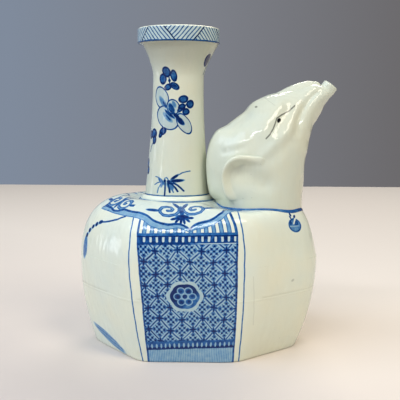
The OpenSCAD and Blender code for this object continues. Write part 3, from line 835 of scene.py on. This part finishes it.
# Sections from the foot to the muzzle: crown point, throat point and half width, as shares of the head's size
shares = np.array([
    [-0.5, 0, 0.5, 0, 0.49], [-0.585, 0.139, 0.513, 0.111, 0.5],
    [-0.602, 0.27, 0.526, 0.235, 0.5], [-0.58, 0.416, 0.542, 0.374, 0.478],
    [-0.504, 0.554, 0.566, 0.506, 0.436], [-0.368, 0.658, 0.605, 0.616, 0.376],
    [-0.221, 0.752, 0.647, 0.693, 0.316], [-0.074, 0.839, 0.689, 0.753, 0.262],
    [0.082, 0.895, 0.729, 0.803, 0.214], [0.247, 0.931, 0.766, 0.842, 0.172],
    [0.412, 0.967, 0.797, 0.873, 0.136], [0.568, 1, 0.825, 0.896, 0.104]])
sections = shares * [head_length, head_rise, head_length, head_rise, head_width]
sections += [head_x, head_z, head_x, head_z, 0]
muzzle_ring = [*(muzzle - muzzle_r * across_muzzle), *(muzzle + muzzle_r * across_muzzle), muzzle_r]
sections = np.vstack([sections, muzzle_ring])
last_section = len(sections) - 1


def section_at(s):
    """Middle, half height, lean and half width on a smooth curve through the sections."""
    s = np.maximum(0, s)
    i = np.clip(np.floor(s), 0, last_section - 1).astype(int)
    a, b, c, d = (sections[np.clip(i + k, 0, last_section)] for k in (-1, 0, 1, 2))
    t = (s - i)[..., None]
    q = b + t / 2 * (c - a + t * (2 * a - 5 * b + 4 * c - d + t * (3 * (b - c) + d - a)))
    crown, throat = q[..., 0:2], q[..., 2:4]
    half = np.linalg.norm(crown - throat, axis=-1) / 2
    return (crown + throat) / 2, half, (crown - throat) / half[..., None] / 2, q[..., 4]


def nape_power(s):
    """How round a section is above its middle: 1 is an ellipse, and less is flatter."""
    return mix(0.55, 1, smooth((s - 5) / 3))


def head_point(s, a):
    """Plain form of the head: s runs along the sections and a from the crown round to the throat. The nape
    is broad and flat, with two low domes on the crown. Where s is below 0 it is the plug under the foot."""
    middle, half, lean, half_width = section_at(s)
    power = np.where(np.cos(a) < 0, 1, nape_power(s))
    wrapped = np.abs((a + pi) % (2 * pi) - pi)
    dome = dome_rise * smooth(s) * smooth((8.5 - s) / 3) * np.exp(-((wrapped - dome_turn) / dome_spread) ** 2)
    reach_out = half * np.sign(np.cos(a)) * np.abs(np.cos(a)) ** power + dome
    p = middle + lean * reach_out[..., None]
    return np.stack([p[..., 0], half_width * np.sin(a), p[..., 1] + np.minimum(0, s) * head_plug], -1)


# Strokes of the thumb, seen from the side: where each begins and ends, its half width and its rise
strokes = {
    "brow": (52, 137, 63, 152, 4.5, 1.1),
    "eye hollow": (60.5, 138.5, 69.5, 150, 3.4, -0.9),
    "eye ridge": (67, 135, 74.5, 150, 3, 0.5),
    "cheek fold": (52, 121.5, 69, 137, 2.6, 0.5),
    "jowl": (58, 120, 71, 131, 3.6, -0.6),
    "nape fold": (30, 127, 44, 131, 2.2, 0.35),
    "ear groove": (29, 123.5, 40, 126.5, 1.8, -0.45),
    "nape dome": (23, 129, 31, 138, 5, 0.3),
    "crown saddle": (32, 141, 41, 149, 6, -2.2),
    "forehead": (47, 154, 57, 159, 6, 0.5),
    "ear dish": (38, 110, 54, 105.5, 6.5, -2.5),
    "ear hollow": (39, 112.5, 44, 113, 4, -1.1),
    "trunk lobe": (80, 155, 86, 162, 3.6, 0.9),
    "throat": (80, 126, 91, 147, 5, 1)}
# The spout tube stands out of the cheek along a curve, with a valley behind it: the foot of the curve, how
# fast it curls forward, the heights between which it shows, and the widths and rise of tube and valley
tube_x, tube_z, tube_curl = 75, 137, 0.0212
tube_low, tube_high, tube_fade = 131, 164, 6
tube_out, tube_wide, tube_rise = 4.6, 3, 1
valley_back, valley_front, valley_depth = 3.2, 1.3, 1.7
nape_x, nape_z, nape_rise = 23, 98, 3
nape_foot_z, nape_foot_rise = 95.5, 1.8


def relief(s, p):
    """Rise and fall of the modelled head: the thumb strokes, the spout tube with the valley behind it, the
    groove between the two domes of the crown, and the nape, that bulges on either side of the neck and again
    at its foot."""
    x, across, z = p[..., 0], np.abs(p[..., 1]), p[..., 2]
    total = 0
    for x1, z1, x2, z2, wide, rise in strokes.values():
        t = ((x - x1) * (x2 - x1) + (z - z1) * (z2 - z1)) / ((x2 - x1) ** 2 + (z2 - z1) ** 2)
        t = np.clip(t, 0, 1)
        total = total + rise * np.exp(-((x - mix(x1, x2, t)) ** 2 + (z - mix(z1, z2, t)) ** 2) / wide ** 2)
    bend = np.maximum(0, z - tube_z)
    from_tube = (x - tube_x - tube_curl * bend ** 2) / np.sqrt(1 + (2 * tube_curl * bend) ** 2)
    valley = np.exp(-(from_tube / np.where(from_tube < 0, valley_back, valley_front)) ** 2)
    tube = np.exp(-((from_tube - tube_out) / tube_wide) ** 2)
    shown = smooth((z - tube_low) / tube_fade) * smooth((tube_high - z) / tube_fade)
    total = total + (tube_rise * tube - valley_depth * valley) * shown
    on_crown = smooth((s - 1.2) / 1.2) * smooth((6.2 - s) / 1.5)
    total = total + on_crown * (0.5 * np.exp(-((across - 17) / 6) ** 2) - 2 * np.exp(-(across / 6.5) ** 2))
    nape = np.exp(-((x - nape_x) / 5) ** 2 - (np.maximum(0, z - nape_z) / 6) ** 2) * smooth((across - 4) / 9)
    nape_foot = np.exp(-((z - nape_foot_z) / 4.5) ** 2) * smooth((41 - x) / 9) * smooth((across - 6) / 9)
    return total * smooth(s) + nape_rise * nape + nape_foot_rise * nape_foot


def head_surface(s, a, lift=0):
    """Point on the modelled head, lifted off its skin."""
    s, a = np.broadcast_arrays(np.asarray(s, float), np.asarray(a, float))
    step = 0.01
    p = head_point(s, a)
    along = head_point(np.minimum(s + step, last_section), a) - head_point(s - step, a)
    aside = head_point(s, a + step) - head_point(s, a - step)
    normal = np.cross(along, aside)
    normal /= np.linalg.norm(normal, axis=-1)[..., None]
    return p + normal * np.asarray(relief(s, p) + lift)[..., None]


def head_inside(s, a):
    """Inside of the wall, drawn to the nozzle at the muzzle."""
    middle, half, lean, half_width = section_at(s)
    square = np.stack([-lean[..., 1], lean[..., 0]], -1)
    back = ((muzzle - middle) * square).sum(-1) / (spout_dir * square).sum(-1)
    drawn = smooth((s - 8) / 2)
    hole = nozzle_r + joint_gap
    p = mix(middle, muzzle - back[..., None] * spout_dir, drawn[..., None])
    p = p + lean * (mix(half - head_wall, hole, drawn) * np.cos(a))[..., None]
    return np.stack([p[..., 0], mix(half_width - head_wall, hole, drawn) * np.sin(a),
                     p[..., 1] + np.minimum(0, s) * head_plug], -1)


# Rows of the plug below the foot; at the joint row it meets the shoulder
joint_row = -0.45
plug_rows = [-0.1, -0.2, -0.3, joint_row, -1]


def head_half(name, side):
    """One moulded half, its outside and its inside, from the muzzle down to the end of the plug."""
    s = np.concatenate([np.linspace(last_section, 0, 170), plug_rows])[:, None]
    t = np.linspace(0, pi, 121)[None]
    even = np.arccos(np.clip(np.abs(np.cos(t)) ** (1 / nape_power(s)), 0, 1))
    outside = head_surface(s + 0 * t, np.where(t < pi / 2, even, t))
    outside[:, [0, -1], 1] = 0
    inside = head_inside(s + 0 * t[:, ::-4], t[:, ::-4] + 0 * s)
    inside[:, [0, -1], 1] = 0
    return skin(name, np.concatenate([outside, inside], 1) * [1, side, 1])


def head_paint(n, x, y, z):
    """Eyes: a long brow line with a dot under it, and a hairline and a speck on the crown."""
    spot = n("CombineXYZ", x, z)
    lid = trail(n, spot, [(54.6, 132.2), (57.1, 134.8), (59.1, 138.1), (60.2, 141.1), (61.5, 144.4),
                          (64.7, 146.7), (68.8, 148.8), (72.9, 152.2)])
    pupil = dab(n, spot, 62.8, 143.1, 65, 1.55, 1.15)
    hairline = trail(n, spot, [(53.4, 158.3), (57, 155.3), (60.5, 152.1)])
    speck = dab(n, spot, 49.2, 151.3, 20, 0.9, 0.6)
    side = past(n, n("abs", y), 6)
    black = n("max", brushed(n, lid, 0.42, 0.72), brushed(n, pupil, 1, 1, 0.2))
    black = n("max", black, brushed(n, hairline, 0.1, 0.3))
    black = n("max", black, brushed(n, speck, 1, 0.6, 0.3))
    return 0, n("*", black, side)


# The shoulder is cut away under the head, so that the way from the body into the head is open
socket_low, socket_high = 79, 112
foot_sides = 180
round_foot = around(foot_sides)
foot = head_surface(np.full(foot_sides, joint_row), round_foot)
outward = np.gradient(foot, axis=0)[:, [1, 0, 2]] * [1, -1, 0]
outward /= np.linalg.norm(outward, axis=1)[:, None]
outward *= np.sign((outward * (foot - [head_x, 0, 0])).sum(1))[:, None]
socket_ring = (foot + outward * joint_gap) * [1, 1, 0]
socket = skin("head_socket", [socket_ring + [0, 0, z] for z in (socket_low, socket_high)])
cut = upper_shell.modifiers.new("socket", "BOOLEAN")
cut.operation = "DIFFERENCE"
cut.object = socket
cut_shell = upper_shell.evaluated_get(bpy.context.evaluated_depsgraph_get())
upper_shell.data = bpy.data.meshes.new_from_object(cut_shell)
upper_shell.modifiers.clear()
upper_shell.data.set_sharp_from_angle(angle=sharp_angle)
bpy.data.objects.remove(socket)

# The head, trunk, spout lip and ears are glazed in the darker tones, which are painted shade
plain_head = glazed("head_porcelain", head_paint, shaded_glaze)
seat(head_half("head_shell_left", 1), "head_left", plain_head)
seat(head_half("head_shell_right", -1), "head_right", plain_head)

# Head coil
# A thin coil of slip that was pressed into the corner between the head and the shoulder and painted
# blue, like a neck cord.
coil_r = 0.75
coil_out = 0.25
coil_up = 0.3


def coil_paint(n, x, y, z):
    """Cobalt that lies thicker towards the breast."""
    return n("*+", n("MapRange", x, 60, 84, 0, 1), 0.25, 0.55), 0


coil_rings = []
for turn in around(12):
    p = foot + outward * (coil_out + coil_r * np.cos(turn))
    p[:, 2] = shoulder_z(p[:, 0], p[:, 1]) + coil_up + coil_r * np.sin(turn)
    coil_rings.append(p)
blue_coil = glazed("painted_coil_porcelain", coil_paint)
seat(skin("head_joint_coil", coil_rings, closed=True), "head_coil", blue_coil)

# Trunk
# A roll of clay laid along the top of the muzzle, where the trunk curls back over the spout. It is
# pressed on with slip and glazed with the head.
trunk_h = 2.6
trunk_at = 10.2
trunk_half = 1.75
trunk_spread = radians(42)
tip_h = 0.9
tip_at = 0.8
patch_sides = 128
patch_depth = 0.6


def patch(name, outline, heights, rows, side=1):
    """Piece pressed on to the head. outline gives its place on the head from the share of its size and the
    turn about its middle, and heights gives its rise off the skin there."""
    turn = around(patch_sides)[None]
    share = np.linspace(0.02, 1, rows)[:, None]
    s, a = outline(share, turn)
    top = head_surface(s, a, heights(share, turn))
    under = head_surface(s, a, -patch_depth)
    return skin(name, np.concatenate([top, under[::-3], under[:1]]) * [1, side, 1])


def trunk_outline(share, turn):
    return trunk_at + trunk_half * share * np.sin(turn), trunk_spread * share * np.cos(turn)


def trunk_rise(share, turn):
    """Round back of the roll, with the small tip at its end."""
    tip = np.exp(-((share * np.sin(turn) - tip_at) / 0.16) ** 2 - (share * np.cos(turn) / 0.4) ** 2)
    return trunk_h * (1 - share ** 2) ** 1.3 + tip_h * tip - 0.15 * share ** 2


seat(patch("trunk_roll", trunk_outline, trunk_rise, 40), "trunk", plain_head)

# Spout lip
# A short tube of thrown porcelain, set in the muzzle with slip, with a soft lip to pour from. It is
# glazed with the head.
lip_l = 4
lip_round = 0.9
spout_bore_r = 2.3
nozzle_l = 4.5
lip_profile = [(spout_bore_r, -nozzle_l), (nozzle_r, -nozzle_l), (nozzle_r, 0), (muzzle_r, 0)]
lip_profile += rounded_edge(muzzle_r, spout_bore_r, lip_l, lip_round)
spout_lip = revolve("spout_lip", lip_profile, 96)
at_muzzle = Matrix.Translation(Vector((muzzle[0], 0, muzzle[1])) * MM)
spout_lip.data.transform(at_muzzle @ Matrix.Rotation(spout_tilt, 4, "Y"))
seat(spout_lip, "spout", plain_head)

# Ears
# Each ear is a pad of clay pressed on to the side of the head, dished with the thumb, its rim rolled over
# and smoothed into the cheek.
ear_rim_h = 4.3
ear_at = 1.4
ear_up, ear_down = 1.5, 1.75
ear_turn, ear_half_turn = 83, 26


def ear_outline(share, turn):
    """Round above and broad below, where the ear runs down to the foot of the head."""
    below = np.sin(turn) < 0
    aside = np.sign(np.cos(turn)) * np.abs(np.cos(turn)) ** np.where(below, 0.3, 1)
    up = np.where(below, ear_down, ear_up) * np.sin(turn)
    return ear_at + share * up, radians(1) * (ear_turn + share * ear_half_turn * aside)


def ear_rise(share, turn):
    """Rolled rim round the back and top of the ear, that fades into the cheek and the foot."""
    dish_edge, rim_at = 0.58, 0.84
    roll = np.where(share < rim_at, smooth((share - dish_edge) / (rim_at - dish_edge)),
                    np.sqrt(np.maximum(0, 1 - ((share - rim_at) / (1 - rim_at)) ** 2)))
    rolled = smooth((turn - radians(50)) / radians(64)) * smooth((radians(262) - turn) / radians(62))
    return ear_rim_h * roll * rolled + 0.15 - 0.5 * share ** 2 * (1 - rolled)


for name, node, side in (("ear_pad_left", "left_ear", 1), ("ear_pad_right", "right_ear", -1)):
    seat(patch(name, ear_outline, ear_rise, 60, side), node, plain_head)

# Table, light and camera
# A table of matt painted board, greyed towards the near left by painted shade, in a plain grey room. A large
# cool window stands on the left, a long lamp above, a warm one on the right and one over the far table; two
# low lamps on the left show in the glaze. Lengths are in metres here, and the camera is at the photograph's
# place.
table_side, table_near, table_far = 2, -1.6, 1.08
table_cloud_mm = 71.43
table_material, tree = new_tree("pale_table")
n = partial(add, tree)
table_spot = n("TexCoord").node.outputs["Object"]
table_x = n("SeparateXYZ", table_spot)
# Painted shade: the board greys towards the near left, with faint clouds over it
table_shade_tone = n("MapRange", n("+", table_x, table_x.node.outputs["Y"]), -0.22, 0.3, -0.05, 0.95)
table_shade_tone = n("*+", n("TexNoise", table_spot, 1 / (table_cloud_mm * MM), 4), 0.1, table_shade_tone)
table_colour = n("ValToRGB", table_shade_tone, stops=((0.04, "#c9c0ba"), (0.9, "#f0e6da"), (0.45, "#e4d9ce")))
n("OutputMaterial", n("BsdfPrincipled", table_colour, Roughness=0.7))
table_mesh = bpy.data.meshes.new("table")
table_corners = [(-table_side, table_near, 0), (table_side, table_near, 0),
                 (table_side, table_far, 0), (-table_side, table_far, 0)]
table_mesh.from_pydata(table_corners, [], [(0, 1, 2, 3)])
table_mesh.materials.append(table_material)
table = show("table", table_mesh)

world = bpy.data.worlds.new("room")
bpy.context.scene.world = world
world.use_nodes = True
world.node_tree.nodes.clear()
n = partial(add, world.node_tree)
path = n("LightPath").node.outputs
seen = n("max", path["Is Camera Ray"], n("max", path["Is Glossy Ray"], path["Is Transmission Ray"]))
to_right = n("MapRange", n("SeparateXYZ", n("TexCoord")), -0.25, 0.25, 0, 1)
wall = n("ValToRGB", to_right, stops=((0, "#808b9c"), (1, "#6c6a6c"), (0.5, "#7d8088")))
room = n("Background", n("Mix", seen, linear("#8b8f94"), wall, data_type="RGBA"), 1)
n("OutputWorld", room)

# Place, size, watts and colour of each lamp. All of them face the middle of the pot
lit_middle = Vector((0.01, 0, 0.1))
lamps = {
    "window_left": ((-0.8, -0.3, 1), (1, 0.8), 8.2, "#d2e6ff"),
    "lamp_above": ((-0.22, -0.75, 0.95), (0.6, 0.12), 4.5, "#fafbff"),
    "lamp_right": ((0.54, -0.64, 1.15), (0.45, 0.5), 7.4, "#fff2dc"),
    "low_left": ((-0.88, -0.47, 0.12), (0.05, 0.3), 0.35, "#f4f8ff"),
    "low_behind": ((-0.93, 0.24, 0.09), (0.18, 0.18), 0.27, "#f4f8ff"),
    "lamp_far": ((0.3, 1.1, 1.2), (0.8, 0.3), 7, "#fff6ea")}
for name, (place, size, watts, colour) in lamps.items():
    light = bpy.data.lights.new(name, "AREA")
    light.shape = "RECTANGLE"
    light.size, light.size_y = size
    light.energy = watts
    light.color = linear(colour)[:3]
    lamp = show(name, light)
    lamp.location = place
    lamp.rotation_euler = (lit_middle - Vector(place)).to_track_quat("-Z", "Y").to_euler()

camera_place = (0.018786, -0.48868, 0.146233)
camera_yaw, camera_pitch, camera_roll = radians(-0.4815), radians(6.3926), radians(0.3592)
camera_data = bpy.data.cameras.new("camera")
camera_data.sensor_width = 36
camera_data.lens = 68.4
camera_data.clip_start = 0.01
camera = show("camera", camera_data)
aim = Matrix.Rotation(-camera_yaw, 4, "Z") @ Matrix.Rotation(pi / 2 - camera_pitch, 4, "X")
camera.matrix_world = Matrix.Translation(camera_place) @ aim @ Matrix.Rotation(camera_roll, 4, "Z")
bpy.context.scene.camera = camera
bpy.context.scene.view_settings.view_transform = "Standard"
